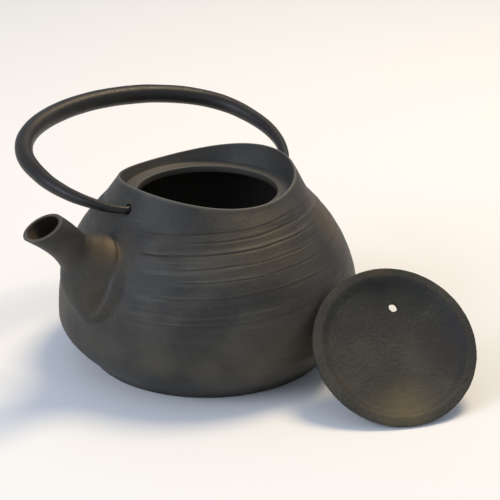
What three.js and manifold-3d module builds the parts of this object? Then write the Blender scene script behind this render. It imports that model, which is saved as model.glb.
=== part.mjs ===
import * as THREE from 'three';
import { mergeVertices } from 'three/addons/utils/BufferGeometryUtils.js';
import Module from 'manifold-3d';

// A cast iron kettle with a swinging bail, its lid taken off and leaning beside it.
// Millimetres, +Z up. The origin is the middle of the foot, and +X runs along the spout.

// Outside of the kettle
const footRadius = 67.3;
const footRound = 1.2;
const bellyRadius = 83.7;
const bellyHeight = 24.5;
const neckRadius = 56.5;
const neckHeight = 88.7;
const lipRadius = 48.4;
const lipHeight = 101.4;
const lipRound = 0.7;
const lipRoundFrom = 20;
const wallThickness = 3.2;
const floorThickness = 4;
const floorCorner = 1.6;

// How full the outside line is, each as a share of the height or width that its stretch covers
const footUpright = 0.15;
const footSpread = 0.12;
const bellyFullness = 0.38;
const shoulderUpright = 0.34;
const shoulderFullness = 0.8;
const neckRunIn = 0.33;

// The collar's top edge rises to an ear over each handle socket and dips between them
const earRise = 3.8;
const lipTilt = 0.7;

// Ledge that the lid sits on, with the mouth through it
const mouthRadius = 38.4;
const ledgeHeight = 92.6;
const ledgeThickness = 4.2;
const ledgeDraft = 0.6;
const lidClearance = 2.2;
const collarDraft = 1;

// Spout: an even tube at the tip, then a flare that swells into a bulb on the shoulder.
// The flare's full radius lies past the root, inside the kettle.
const spoutTipReach = 105.8;
const spoutTipHeight = 97.7;
const spoutTipRadius = 9.6;
const spoutTipAngle = 36.5;
const spoutRootReach = 54;
const spoutRootHeight = 53;
const spoutRootAngle = 6.6;
const spoutBend = 0.71;
const spoutFlareFromTip = 29.7;
const spoutFlareLength = 57.1;
const spoutFlareRadius = 32.8;
const spoutMouthTilt = 24.3;
const spoutWall = 2.6;
const spoutLipWall = 1.7;
const spoutLipLength = 16;
const spoutFillet = 3;
const filletBuried = 0.25;
const spoutFoldMargin = 0.1;
const spoutCrookReach = 12.4;
const filletDepth = 1.4;

// Bail and the sockets that it swings in
const bailPivotHeight = 94.3;
const bailHalfWidth = 76;
const bailReach = 107.5;
const bailWidestAt = 46.6;
const bailTurnReach = 57;
const bailSideCurve = 2.2;
const bailSideShares = [0.12, 0.3, 0.5, 0.75, 1];
const bailTopCurve = 0.85;
const bailTopAngles = [15, 30, 45, 60, 75];
const bailBarRadius = 5.65;
const bailEndRadius = 1.95;
const bailTaper = 2.4;
const bailLean = 76.8;
const pegReach = 48.9;
const pegStraight = 5.6;
const socketClearance = 0.7;
const socketEndGap = 0.5;

// Lid
const lidRadius = 43.8;
const lidRimThickness = 2.8;
const lidEdgeRound = 0.9;
const lidFaceRound = 0.5;
const lidPlateThickness = 2.6;
const lidDishDepth = 6.4;
const lidDishFlatness = 2.4;
const lidDomeFlatness = 2.2;
const lidBandWidth = 4.6;
const lidTopBand = 3;
const knobNeckRadius = 4.6;
const knobFootFlare = 2;
const knobFlareShare = 0.33;
const knobRadius = 9.5;
const knobHeight = 18;
const knobWaistShare = 0.22;
const knobHeadShare = 0.34;
const knobUndercut = 55;
const steamHoleRadius = 2.3;
const steamHoleOffset = 23.3;
const steamHoleTurn = 102.6;

// How the lid leans beside the kettle: where round it, which way it faces, how far back it leans
const lidTurn = 104.9;
const lidFacing = 62.5;
const lidLean = 47;
const lidFloorGap = 0.1;
const lidKettleGap = 0.4;

// Facets
const bodySides = 52;
const bellySteps = 10;
const hollowSteps = 15;
const collarSteps = 4;
const edgeSteps = 3;
const lidSides = 44;
const lidSteps = 9;
const lidEdgeSteps = 4;
const knobSteps = 14;
const barSides = 16;
const barSteps = 64;
const spoutSides = 28;
const spoutSteps = 24;
const filletSteps = 4;
const holeSides = 20;
const weldWithin = 1e-4;

const wasm = await Module();
wasm.setup();
const radians = THREE.MathUtils.degToRad;
const seatRadius = lidRadius + lidClearance;
const spoutSide = new THREE.Vector3(0, -1, 0);
const ceiling = ledgeHeight - ledgeThickness;

// A closed geometry becomes a solid that can be joined and cut
function toSolid(geometry) {
  geometry.deleteAttribute('normal');
  geometry.deleteAttribute('uv');
  const merged = mergeVertices(geometry, weldWithin);
  return new wasm.Manifold(new wasm.Mesh({
    numProp: 3,
    vertProperties: Float32Array.from(merged.attributes.position.array),
    triVerts: Uint32Array.from(merged.index.array),
  }));
}

function toMesh(solid, name, material) {
  const cut = solid.getMesh();
  const geometry = new THREE.BufferGeometry();
  geometry.setAttribute('position', new THREE.BufferAttribute(cut.vertProperties, 3));
  geometry.setIndex(new THREE.BufferAttribute(cut.triVerts, 1));
  geometry.computeVertexNormals();
  const mesh = new THREE.Mesh(geometry, material);
  mesh.name = name;
  return mesh;
}

// Profile points are radius and height, from the axis at the bottom to the axis at the top
function revolve(points, sides) {
  const geometry = new THREE.LatheGeometry(points, sides);
  return geometry.rotateX(Math.PI / 2);
}

// Points on a small arc that rounds an edge, anticlockwise, in degrees
function roundEdge(x, y, radius, from, to, steps) {
  const arc = new THREE.EllipseCurve(x, y, radius, radius, radians(from), radians(to));
  return arc.getPoints(steps);
}

// Half of a ring's width in the flat plane that its bar is bent in
function halfAcross(frame, side) {
  return new THREE.Vector3().crossVectors(side, frame.ahead).setLength(frame.radius);
}

// A bar bent in one flat plane, through a row of rings that each have a middle, a half width
// in the plane and a radius at right angles to it
function bendBar(rings, side, sides) {
  const steps = rings.length - 1;
  const geometry = new THREE.CylinderGeometry(1, 1, 1, sides, steps);
  const place = geometry.attributes.position;
  for (let i = 0; i < place.count; i += 1) {
    const ring = rings[Math.round((place.getY(i) + 0.5) * steps)];
    const point = ring.point.clone().addScaledVector(ring.across, place.getX(i));
    point.addScaledVector(side, -place.getZ(i) * ring.radius);
    place.setXYZ(i, point.x, point.y, point.z);
  }
  return toSolid(geometry);
}

// Outside line of the kettle above the foot's rounded edge: full belly, then a long shoulder
function bellyLine() {
  const line = new THREE.Path();
  line.moveTo(footRadius, footRound);
  const footWide = footRadius + (bellyRadius - footRadius) * footSpread;
  line.bezierCurveTo(footWide, footRound + bellyHeight * footUpright,
    bellyRadius, bellyHeight * (1 - bellyFullness), bellyRadius, bellyHeight);
  const rise = neckHeight - bellyHeight;
  line.bezierCurveTo(bellyRadius, bellyHeight + rise * shoulderUpright,
    neckRadius + (bellyRadius - neckRadius) * shoulderFullness, neckHeight - rise * neckRunIn,
    neckRadius, neckHeight);
  return line;
}

// Height of the collar's edge above its mean, by angle round the kettle
function collarWave(angle) {
  return earRise * Math.cos(2 * angle) - lipTilt * Math.cos(angle);
}

function waveCollar(geometry) {
  const place = geometry.attributes.position;
  for (let i = 0; i < place.count; i += 1) {
    const radius = Math.hypot(place.getX(i), place.getY(i));
    const climb = THREE.MathUtils.smoothstep(place.getZ(i), neckHeight, lipHeight);
    const inward = THREE.MathUtils.smoothstep(radius, 0, mouthRadius);
    const angle = Math.atan2(place.getY(i), place.getX(i));
    place.setZ(i, place.getZ(i) + collarWave(angle) * climb * inward);
  }
  return geometry;
}

function outsideRings() {
  const foot = roundEdge(footRadius - footRound, footRound, footRound, -90, 0, edgeSteps).slice(0, -1);
  return [...foot, ...bellyLine().getPoints(bellySteps)];
}

function kettleOutside() {
  const points = [new THREE.Vector2(0, 0), ...outsideRings()];
  const lip = roundEdge(lipRadius - lipRound, lipHeight - lipRound, lipRound, lipRoundFrom, 90, edgeSteps);
  for (let i = 1; i < collarSteps; i += 1) {
    points.push(new THREE.Vector2(neckRadius, neckHeight).lerp(lip[0], i / collarSteps));
  }
  points.push(...lip);
  points.push(new THREE.Vector2(mouthRadius, lipHeight));
  points.push(new THREE.Vector2(0, lipHeight));
  return toSolid(waveCollar(revolve(points, bodySides)));
}

// The hollow follows the outside line, one wall thickness in, up to the ledge's underside
function kettleHollow() {
  const line = bellyLine();
  const side = [];
  for (let i = 0; i <= hollowSteps; i += 1) {
    const point = line.getPoint(i / hollowSteps);
    const ahead = line.getTangent(i / hollowSteps);
    const inside = new THREE.Vector2(-ahead.y, ahead.x).multiplyScalar(wallThickness).add(point);
    const clearOfEnds = inside.y > floorThickness + floorCorner && inside.y < ceiling - floorCorner;
    if (clearOfEnds) side.push(inside);
  }
  const last = side[side.length - 1];
  const above = lipHeight + earRise + lipTilt + lipRadius;
  const points = [
    new THREE.Vector2(0, floorThickness),
    new THREE.Vector2(side[0].x - floorCorner, floorThickness),
    ...side,
    new THREE.Vector2(last.x - (ceiling - last.y), ceiling),
    new THREE.Vector2(mouthRadius, ceiling + ledgeDraft),
    new THREE.Vector2(mouthRadius, ledgeHeight),
    new THREE.Vector2(seatRadius, ledgeHeight),
    new THREE.Vector2(seatRadius + collarDraft, lipHeight),
    new THREE.Vector2(seatRadius + collarDraft, above),
    new THREE.Vector2(0, above),
  ];
  return toSolid(revolve(points, bodySides));
}

// The spout's middle line leaves the hollow nearly level and bends up towards the tip
function spoutLine() {
  const root = new THREE.Vector3(spoutRootReach, 0, spoutRootHeight);
  const tip = new THREE.Vector3(spoutTipReach, 0, spoutTipHeight);
  const hold = root.distanceTo(tip) * spoutBend;
  const leave = new THREE.Vector3(Math.cos(radians(spoutRootAngle)), 0, Math.sin(radians(spoutRootAngle)));
  const arrive = new THREE.Vector3(Math.cos(radians(spoutTipAngle)), 0, Math.sin(radians(spoutTipAngle)));
  return new THREE.CubicBezierCurve3(root, root.clone().addScaledVector(leave, hold),
    tip.clone().addScaledVector(arrive, -hold), tip);
}

// Radius of the ball that sweeps out the spout, by distance back from the tip
function spoutBall(fromTip) {
  const flareEnd = spoutFlareFromTip + spoutFlareLength;
  const swell = THREE.MathUtils.smoothstep(fromTip, spoutFlareFromTip, flareEnd);
  return spoutTipRadius + (spoutFlareRadius - spoutTipRadius) * swell;
}

// The ring where that ball touches its own sweep, by distance from the root.
// Before the root and past the tip the spout runs straight on.
function spoutFrame(line, along, wallAt) {
  const length = line.getLength();
  const share = THREE.MathUtils.clamp(along / length, 0, 1);
  const ahead = line.getTangentAt(share);
  const fromTip = length - along;
  const ball = spoutBall(fromTip) - wallAt(fromTip);
  const half = 0.5;
  const growth = (spoutBall(fromTip + half) - spoutBall(fromTip - half)) / (2 * half);
  const middle = line.getPointAt(share).addScaledVector(ahead, along - share * length);
  const point = middle.clone().addScaledVector(ahead, ball * growth);
  return { middle, ball, point, ahead, radius: ball * Math.sqrt(1 - growth ** 2) };
}

// Where the flare has its full radius, before the root
function spoutStart(line) {
  return line.getLength() - spoutFlareFromTip - spoutFlareLength;
}

function spoutBar(wallAt, past) {
  const line = spoutLine();
  const start = spoutStart(line);
  const run = line.getLength() + past - start;
  const rings = [];
  for (let i = 0; i <= spoutSteps; i += 1) {
    const along = start + run * i / spoutSteps;
    const ring = spoutFrame(line, along, wallAt);
    const across = halfAcross(ring, spoutSide);
    rings.push({ ...ring, along, top: ring.point.clone().add(across), foot: ring.point.clone().sub(across) });
  }
  spreadTops(rings);
  for (const ring of rings) {
    ring.across = ring.top.clone().sub(ring.foot).multiplyScalar(0.5);
    ring.point = ring.top.clone().add(ring.foot).multiplyScalar(0.5);
  }
  return bendBar(rings, spoutSide, spoutSides);
}

// Inside the bend the ring tops fold back into the sweep. Those and the tops within reach of them
// are spread evenly between the open ones on either side, so that no two rings cross and the
// bulb's top runs on nearly level from the shoulder to the tube.
function spreadTops(rings) {
  const folded = rings.filter((ring) => rings.some((other) => {
    return other.middle.distanceTo(ring.top) < other.ball - spoutFoldMargin;
  }));
  const isOpen = rings.map((ring) => folded.every((other) => {
    return Math.abs(ring.along - other.along) > spoutCrookReach;
  }));
  rings.forEach((ring, i) => {
    const before = isOpen.lastIndexOf(true, i);
    const after = isOpen.indexOf(true, i);
    if (isOpen[i] || before < 0 || after < 0) return;
    ring.top = rings[before].top.clone().lerp(rings[after].top, (i - before) / (after - before));
  });
}

// The spout's wall thins towards its lip
function spoutWallAt(fromTip) {
  const share = THREE.MathUtils.smoothstep(fromTip, 0, spoutLipLength);
  return spoutLipWall + (spoutWall - spoutLipWall) * share;
}

// A tilted block above the tip cuts the spout's mouth nearly level
function spoutMouthCut() {
  const wide = 8;
  const size = spoutTipRadius * wide;
  const block = new THREE.BoxGeometry(size, size, size);
  block.translate(0, 0, size / 2);
  block.rotateY(radians(spoutMouthTilt));
  block.translate(spoutTipReach, 0, spoutTipHeight);
  return toSolid(block);
}

// Outside radius of the kettle at a height, along the same rings as its facets
function kettleRadiusAt(height) {
  const rings = outsideRings();
  const above = rings.findIndex((ring) => ring.y >= height);
  const next = above < 0 ? rings.length - 1 : Math.max(above, 1);
  const high = rings[next];
  const low = rings[next - 1];
  return low.x + (high.x - low.x) * (height - low.y) / (high.y - low.y);
}

// One concave section of the fillet, at a turn round the spout: from the shoulder to the spout
function filletSection(line, turn) {
  const onSpout = (along, wall) => {
    const frame = spoutFrame(line, along, () => wall);
    const point = frame.point.clone().addScaledVector(halfAcross(frame, spoutSide), Math.sin(turn));
    return point.addScaledVector(spoutSide, -Math.cos(turn) * frame.radius);
  };
  const proud = (point) => Math.hypot(point.x, point.y) - kettleRadiusAt(point.z);
  let inner = spoutStart(line);
  let outer = inner;
  while (proud(onSpout(outer, 0)) < 0) outer += 1;
  const halvings = 20;
  for (let i = 0; i < halvings; i += 1) {
    const middle = (inner + outer) / 2;
    if (proud(onSpout(middle, 0)) < 0) inner = middle;
    else outer = middle;
  }
  const corner = onSpout(outer, 0);
  const upSpout = onSpout(outer + spoutFillet, filletBuried);
  const spoutOut = corner.clone().sub(onSpout(outer, 1)).normalize();
  const nearby = 0.5;
  const slope = (kettleRadiusAt(corner.z + nearby) - kettleRadiusAt(corner.z - nearby)) / (2 * nearby);
  const round = new THREE.Vector2(corner.x, corner.y).normalize();
  const kettleOut = new THREE.Vector3(round.x, round.y, -slope).normalize();
  const away = spoutOut.clone().addScaledVector(kettleOut, -spoutOut.dot(kettleOut)).normalize();
  const downKettle = corner.clone().addScaledVector(away, spoutFillet);
  const radius = kettleRadiusAt(downKettle.z) - filletBuried;
  const turned = new THREE.Vector2(downKettle.x, downKettle.y).setLength(radius);
  downKettle.set(turned.x, turned.y, downKettle.z);
  const curve = new THREE.QuadraticBezierCurve3(downKettle, corner, upSpout);
  const deep = corner.clone().addScaledVector(spoutOut, -filletDepth);
  deep.addScaledVector(kettleOut, -filletDepth);
  return [...curve.getPoints(filletSteps), deep];
}

// A closed ring of sections that softens the corner where the spout leaves the shoulder
function spoutFilletRing() {
  const line = spoutLine();
  const places = [];
  const faces = [];
  let count = 0;
  for (let k = 0; k < spoutSides; k += 1) {
    const section = filletSection(line, 2 * Math.PI * k / spoutSides);
    count = section.length;
    for (const point of section) places.push(point.x, point.y, point.z);
  }
  for (let k = 0; k < spoutSides; k += 1) {
    const next = (k + 1) % spoutSides;
    for (let j = 0; j < count; j += 1) {
      const after = (j + 1) % count;
      faces.push(k * count + j, next * count + j, next * count + after);
      faces.push(k * count + j, next * count + after, k * count + after);
    }
  }
  const geometry = new THREE.BufferGeometry();
  geometry.setAttribute('position', new THREE.Float32BufferAttribute(places, 3));
  geometry.setIndex(faces);
  return toSolid(geometry);
}

// Blind holes in the thick of the collar, under the two ears
function socketCuts() {
  const radius = bailEndRadius + socketClearance;
  const bottom = pegReach - socketEndGap;
  const depth = neckRadius - bottom;
  const cut = new THREE.CylinderGeometry(radius, radius, depth, holeSides);
  cut.rotateZ(Math.PI / 2);
  const near = toSolid(cut.clone().translate(bottom + depth / 2, 0, bailPivotHeight));
  const far = toSolid(cut.clone().translate(-bottom - depth / 2, 0, bailPivotHeight));
  return near.add(far);
}

function kettleBody(iron) {
  const past = spoutTipRadius;
  const spout = spoutBar(() => 0, past).subtract(spoutMouthCut());
  const outside = kettleOutside().add(spout).add(spoutFilletRing());
  const hollow = kettleHollow().add(spoutBar(spoutWallAt, 2 * past));
  return toMesh(outside.subtract(hollow).subtract(socketCuts()), 'kettle_body', iron);
}

// Half of the bail's middle line, from the peg's end to the top, in its own flat plane
function bailHalf() {
  const points = [0, 0.5, 1].map((share) => new THREE.Vector2(pegReach + pegStraight * share, 0));
  for (const share of bailSideShares) {
    const spread = 1 - (1 - share) ** bailSideCurve;
    const out = bailTurnReach + (bailHalfWidth - bailTurnReach) * spread;
    points.push(new THREE.Vector2(out, bailWidestAt * share));
  }
  const rise = bailReach - bailWidestAt;
  for (const degrees of bailTopAngles) {
    const angle = radians(degrees);
    const up = bailWidestAt + rise * Math.sin(angle) ** bailTopCurve;
    points.push(new THREE.Vector2(bailHalfWidth * Math.cos(angle), up));
  }
  return points;
}

function bailHandle(iron) {
  const half = bailHalf();
  const points = half.map((p) => new THREE.Vector3(p.x, 0, p.y));
  points.push(new THREE.Vector3(0, 0, bailReach));
  points.push(...half.reverse().map((p) => new THREE.Vector3(-p.x, 0, p.y)));
  const line = new THREE.CatmullRomCurve3(points, false, 'centripetal');
  line.arcLengthDivisions = 1000;
  const length = line.getLength();
  const side = new THREE.Vector3(0, 1, 0);
  const rings = [];
  for (let i = 0; i <= barSteps; i += 1) {
    const share = i / barSteps;
    const fromPeg = Math.min(share, 1 - share) * length - pegStraight;
    const climb = Math.max(fromPeg / (length / 2 - pegStraight), 0);
    const thickness = 1 - (1 - climb) ** bailTaper;
    const radius = bailEndRadius + (bailBarRadius - bailEndRadius) * thickness;
    const ring = { point: line.getPointAt(share), ahead: line.getTangentAt(share), radius };
    rings.push({ ...ring, across: halfAcross(ring, side) });
  }
  const bar = bendBar(rings, side, barSides);
  const mesh = toMesh(bar, 'bail_handle', iron);
  const swing = new THREE.Group();
  swing.position.z = bailPivotHeight;
  swing.rotation.x = radians(bailLean);
  swing.add(mesh);
  return swing;
}

// Knob of the lid: a flared foot, a waist and a round undercut head
function knobOutline(crown) {
  const flareRun = knobFootFlare * knobFlareShare;
  const points = [new THREE.Vector2(knobNeckRadius + flareRun, crown + flareRun)];
  points.push(new THREE.Vector2(knobNeckRadius, crown + knobHeight * knobWaistShare));
  const half = knobHeight * knobHeadShare;
  const middle = crown + knobHeight - half;
  const head = new THREE.EllipseCurve(0, middle, knobRadius, half, radians(-knobUndercut), radians(90));
  points.push(...head.getPoints(knobSteps).slice(0, -1));
  points.push(new THREE.Vector2(0, crown + knobHeight));
  return points;
}

// The lid in its own frame: rim plane at zero, dished underside, domed top, knob upwards
function lidOutline() {
  const points = [];
  const dishRadius = lidRadius - lidBandWidth;
  for (let i = 0; i <= lidSteps; i += 1) {
    const share = i / lidSteps;
    points.push(new THREE.Vector2(dishRadius * share, lidDishDepth * (1 - share ** lidDishFlatness)));
  }
  points.push(...roundEdge(lidRadius - lidFaceRound, lidFaceRound, lidFaceRound, -90, 0, edgeSteps));
  const edgeHeight = lidRimThickness - lidEdgeRound;
  points.push(...roundEdge(lidRadius - lidEdgeRound, edgeHeight, lidEdgeRound, 0, 90, lidEdgeSteps));
  const crown = lidDishDepth + lidPlateThickness;
  const domeFoot = lidRadius - lidTopBand;
  const domeTop = knobNeckRadius + knobFootFlare;
  for (let i = 1; i <= lidSteps; i += 1) {
    const share = 1 - i / lidSteps;
    const out = domeTop + (domeFoot - domeTop) * share;
    const height = lidRimThickness + (crown - lidRimThickness) * (1 - share ** lidDomeFlatness);
    points.push(new THREE.Vector2(out, height));
  }
  return [...points, ...knobOutline(crown)];
}

// Height of the lid's middle over the floor, so that its rounded edge just stands on it
function lidDrop() {
  const lean = radians(lidLean);
  const across = (lidRadius - lidEdgeRound) * Math.cos(lean);
  const behind = (lidRimThickness - lidEdgeRound) * Math.sin(lean);
  return across + behind + lidEdgeRound + lidFloorGap;
}

// How far the leaning lid's middle stands from the kettle's axis, so that each of its points
// clears the belly by the gap. It comes from the points as they lie with the middle on the axis.
function lidReach(place, away) {
  const point = new THREE.Vector3();
  let reach = 0;
  for (let i = 0; i < place.count; i += 1) {
    point.fromBufferAttribute(place, i);
    const along = point.x * away.x + point.y * away.y;
    const off = point.x * away.y - point.y * away.x;
    const clear = kettleRadiusAt(point.z) + lidKettleGap;
    if (Math.abs(off) < clear) reach = Math.max(reach, Math.sqrt(clear ** 2 - off ** 2) - along);
  }
  return reach;
}

function lid(iron) {
  const hole = new THREE.CylinderGeometry(steamHoleRadius, steamHoleRadius, 4 * knobHeight, holeSides);
  hole.rotateX(Math.PI / 2);
  const turn = radians(steamHoleTurn);
  hole.translate(steamHoleOffset * Math.cos(turn), steamHoleOffset * Math.sin(turn), 0);
  const solid = toSolid(revolve(lidOutline(), lidSides)).subtract(toSolid(hole));
  const mesh = toMesh(solid, 'lid', iron);
  mesh.rotation.z = -Math.PI / 2;
  const tip = new THREE.Group();
  tip.rotation.y = radians(-90 - lidLean);
  tip.add(mesh);
  const place = new THREE.Group();
  place.rotation.z = radians(lidFacing);
  place.position.z = lidDrop();
  place.add(tip);
  place.updateMatrixWorld(true);
  const leaning = mesh.geometry.attributes.position.clone().applyMatrix4(mesh.matrixWorld);
  const away = new THREE.Vector3(Math.cos(radians(lidTurn)), Math.sin(radians(lidTurn)), 0);
  place.position.addScaledVector(away, lidReach(leaning, away));
  return place;
}

const bodyIron = new THREE.MeshStandardMaterial({ color: 0x34322c, roughness: 0.62, metalness: 0.35 });
const bailIron = new THREE.MeshStandardMaterial({ color: 0x2a2925, roughness: 0.45, metalness: 0.4 });
const lidIron = new THREE.MeshStandardMaterial({ color: 0x36352f, roughness: 0.75, metalness: 0.3 });

const kettle = new THREE.Group();
kettle.add(kettleBody(bodyIron), bailHandle(bailIron), lid(lidIron));

export default kettle;
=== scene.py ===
import math

import bpy
import numpy as np
from mathutils import Matrix, Vector


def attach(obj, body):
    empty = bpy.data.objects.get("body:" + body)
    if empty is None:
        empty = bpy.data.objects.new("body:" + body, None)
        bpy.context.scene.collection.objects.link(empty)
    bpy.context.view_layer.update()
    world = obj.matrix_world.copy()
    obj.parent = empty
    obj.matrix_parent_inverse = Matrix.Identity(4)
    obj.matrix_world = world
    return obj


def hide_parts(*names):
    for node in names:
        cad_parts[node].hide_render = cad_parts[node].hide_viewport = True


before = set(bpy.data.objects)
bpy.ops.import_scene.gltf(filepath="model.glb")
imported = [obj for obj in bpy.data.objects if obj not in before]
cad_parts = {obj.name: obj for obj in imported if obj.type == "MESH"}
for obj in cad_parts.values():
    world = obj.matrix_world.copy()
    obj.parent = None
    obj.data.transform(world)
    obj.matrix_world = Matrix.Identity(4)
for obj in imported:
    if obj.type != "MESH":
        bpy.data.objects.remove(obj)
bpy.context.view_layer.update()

mm = 0.001
sharpAngle = 48  # degrees past which an edge is shaded sharp
batch = 4000  # points that are measured at once, to keep memory low


def smoothstep(value, low, high):
    share = np.clip((value - low) / (high - low), 0, 1)
    return share * share * (3 - 2 * share)


def bezier(points, steps):
    t = np.linspace(0, 1, steps)[:, None]
    a, b, c, d = (np.array(p, float) for p in points)
    return a * (1 - t) ** 3 + 3 * b * t * (1 - t) ** 2 + 3 * c * t * t * (1 - t) + d * t ** 3


def runLength(points):
    return np.r_[0, np.cumsum(np.linalg.norm(np.diff(points, axis=0), axis=1))]


def pick(points, along, at):
    return np.stack([np.interp(at, along, points[:, k]) for k in range(points.shape[1])], -1)


def evenly(points, step):
    # resamples a line of points to equal steps
    points = np.array(points, float)
    along = runLength(points)
    count = max(2, int(round(along[-1] / step)) + 1)
    return pick(points, along, np.linspace(0, along[-1], count))


def outwards(line):
    # to the right of a flat line, which is outwards for a profile that climbs
    ahead = np.gradient(line, axis=0)
    ahead /= np.linalg.norm(ahead, axis=1)[:, None]
    return np.stack([ahead[:, 1], -ahead[:, 0]], -1)


def roundCorner(centre, radius, start, end, steps=5):
    turn = np.radians(np.linspace(start, end, steps))
    return [(centre[0] + radius * math.cos(a), centre[1] + radius * math.sin(a)) for a in turn]


def meshObject(name, points, faces):
    mesh = bpy.data.meshes.new(name)
    mesh.from_pydata((np.array(points) * mm).tolist(), [], faces)
    mesh.validate()
    made = bpy.data.objects.new(name, mesh)
    bpy.context.scene.collection.objects.link(made)
    return made


def skinOfRings(name, rings, start, end):
    # closes rows of points into one skin, with a point at each end
    count, sides = rings.shape[:2]
    points = [start] + rings.reshape(-1, 3).tolist() + [end]
    faces = []
    for k in range(sides):
        after = (k + 1) % sides
        faces.append((0, 1 + after, 1 + k))
        for row in range(count - 1):
            low = 1 + row * sides
            faces.append((low + k, low + after, low + sides + after, low + sides + k))
        top = 1 + (count - 1) * sides
        faces.append((top + k, top + after, len(points) - 1))
    return meshObject(name, points, faces)


def revolve(name, profile, angle, lift=None):
    # closed solid from a radius and height line that starts and ends on the axis
    profile = np.array(profile, float)
    radius = np.repeat(profile[1:-1, :1], len(angle), 1)
    height = np.repeat(profile[1:-1, 1:], len(angle), 1)
    if lift is not None:
        height = height + lift(angle[None], radius, height)
    rings = np.stack([radius * np.cos(angle), radius * np.sin(angle), height], -1)
    return skinOfRings(name, rings, (0, 0, profile[0, 1]), (0, 0, profile[-1, 1]))


def barAlong(name, centre, across, radius, side, sides):
    # bar bent in one flat plane: each ring has a middle, a half width in the plane, and a radius
    angle = np.arange(sides) * 2 * math.pi / sides
    rings = centre[:, None] + np.cos(angle)[None, :, None] * across[:, None]
    rings = rings + (np.sin(angle)[None, :] * radius[:, None])[..., None] * np.array(side, float)
    return skinOfRings(name, rings, centre[0].tolist(), centre[-1].tolist())


def straightBar(name, start, end, radius, side, sides):
    # from start to end, with its radii spread evenly along it
    line = np.linspace(start, end, len(radius))
    ahead = (line[-1] - line[0]) / np.linalg.norm(line[-1] - line[0])
    return barAlong(name, line, np.cross(side, ahead) * radius[:, None], radius, side, sides)


def baked(piece):
    # turns what the modifiers give into a plain mesh and takes them off
    graph = bpy.context.evaluated_depsgraph_get()
    mesh = bpy.data.meshes.new_from_object(piece.evaluated_get(graph))
    piece.modifiers.clear()
    piece.data = mesh
    return piece


def cutOrJoin(target, tool, operation):
    change = target.modifiers.new("change", "BOOLEAN")
    change.operation = operation
    change.solver = "MANIFOLD"
    change.object = tool
    baked(target)
    bpy.data.objects.remove(tool)
    return target


def pointsOf(piece):
    points = np.zeros(len(piece.data.vertices) * 3, np.float32)
    piece.data.vertices.foreach_get("co", points)
    return points.reshape(-1, 3).astype(float) / mm


def setPoints(piece, points):
    piece.data.vertices.foreach_set("co", (points * mm).astype(np.float32).ravel())
    piece.data.update()


def setAttribute(piece, name, values):
    attribute = piece.data.attributes.new(name, "FLOAT", "POINT")
    attribute.data.foreach_set("value", np.asarray(values, np.float32))


# Node trees, for shapes and for materials
def node(tree, kind, inputs=None, **settings):
    # adds a node; each input is a value or another node's output
    made = tree.nodes.new(kind)
    for name, value in settings.items():
        setattr(made, name, value)
    for key, value in (inputs or {}).items():
        if isinstance(value, bpy.types.NodeSocket):
            tree.links.new(value, made.inputs[key])
        else:
            made.inputs[key].default_value = value
    return made


def shapeTree(name, sizes):
    # a new tree with a named input for each size, and its sockets by name
    tree = bpy.data.node_groups.new(name, "GeometryNodeTree")
    tree.interface.new_socket("Geometry", in_out="INPUT", socket_type="NodeSocketGeometry")
    for label in sizes:
        tree.interface.new_socket(label, in_out="INPUT", socket_type="NodeSocketFloat")
    tree.interface.new_socket("Material", in_out="INPUT", socket_type="NodeSocketMaterial")
    tree.interface.new_socket("Geometry", in_out="OUTPUT", socket_type="NodeSocketGeometry")
    sockets = {socket.name: socket for socket in node(tree, "NodeGroupInput").outputs if socket.name}
    return tree, sockets


def pushOut(tree, geometry, relief, material):
    # moves the skin along its normal by the relief in millimetres, and ends the tree
    way = node(tree, "GeometryNodeInputNormal").outputs[0]
    far = node(tree, "ShaderNodeMath", {0: relief, 1: mm}, operation="MULTIPLY").outputs[0]
    out = node(tree, "ShaderNodeVectorMath", {0: way, "Scale": far}, operation="SCALE").outputs[0]
    moved = node(tree, "GeometryNodeSetPosition", {"Geometry": geometry, "Offset": out}).outputs[0]
    real = node(tree, "GeometryNodeRealizeInstances", {"Geometry": moved}).outputs[0]
    painted = node(tree, "GeometryNodeSetMaterial", {"Geometry": real, "Material": material}).outputs[0]
    node(tree, "NodeGroupOutput", {0: painted})


def runTree(piece, tree, values):
    change = piece.modifiers.new(tree.name, "NODES")
    change.node_group = tree
    for item in tree.interface.items_tree:
        if item.in_out == "INPUT" and item.name in values:
            change[item.identifier] = values[item.name]
    return baked(piece)


# Kettle: foot, belly, shoulder, waved collar, in millimetres, degrees and shares
kettle = {
    "footRadius": 67.3, "footRound": 1.2, "bellyRadius": 83.7, "bellyHeight": 24.5,
    "neckRadius": 56.5, "neckHeight": 88.7, "lipRadius": 48.4, "lipHeight": 101.4, "lipRound": 0.7,
    "footUpright": 0.15, "footSpread": 0.12, "bellyFullness": 0.38,
    "shoulderUpright": 0.34, "shoulderFullness": 0.8, "neckRunIn": 0.33,
    "earRise": 3.8, "lipTilt": 0.7,
    "wall": 3.2, "floor": 4, "floorCorner": 1.6, "floorInset": 6, "floorDip": 0.3,
    "mouthRadius": 38.4, "ledgeHeight": 92.6, "ledgeThickness": 4.2, "ledgeDraft": 0.6, "ledgeLevel": 1,
    "seatRadius": 46, "collarDraft": 1, "edgeRound": 0.5, "seatEdge": [(0.1, -0.2), (0.35, 0.02)],
    # how finely it is made: closer sides at the spout, closer rows between these heights
    "sides": 236, "spoutSideFade": (30, 42), "spoutSideFineness": 3,
    "plainStep": 1, "fineStep": 0.36, "fineFrom": (38, 45), "fineUntil": (92, 96),
    "footRows": 9, "footRowInset": 4, "capInset": 2, "lipFrom": 20, "underSteps": 80, "aboveSteps": 160,
    "readStep": 0.05, "measureStep": 0.5, "hollowStep": 2.5, "clearAbove": 30, "settleRounds": 3,
}
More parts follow.
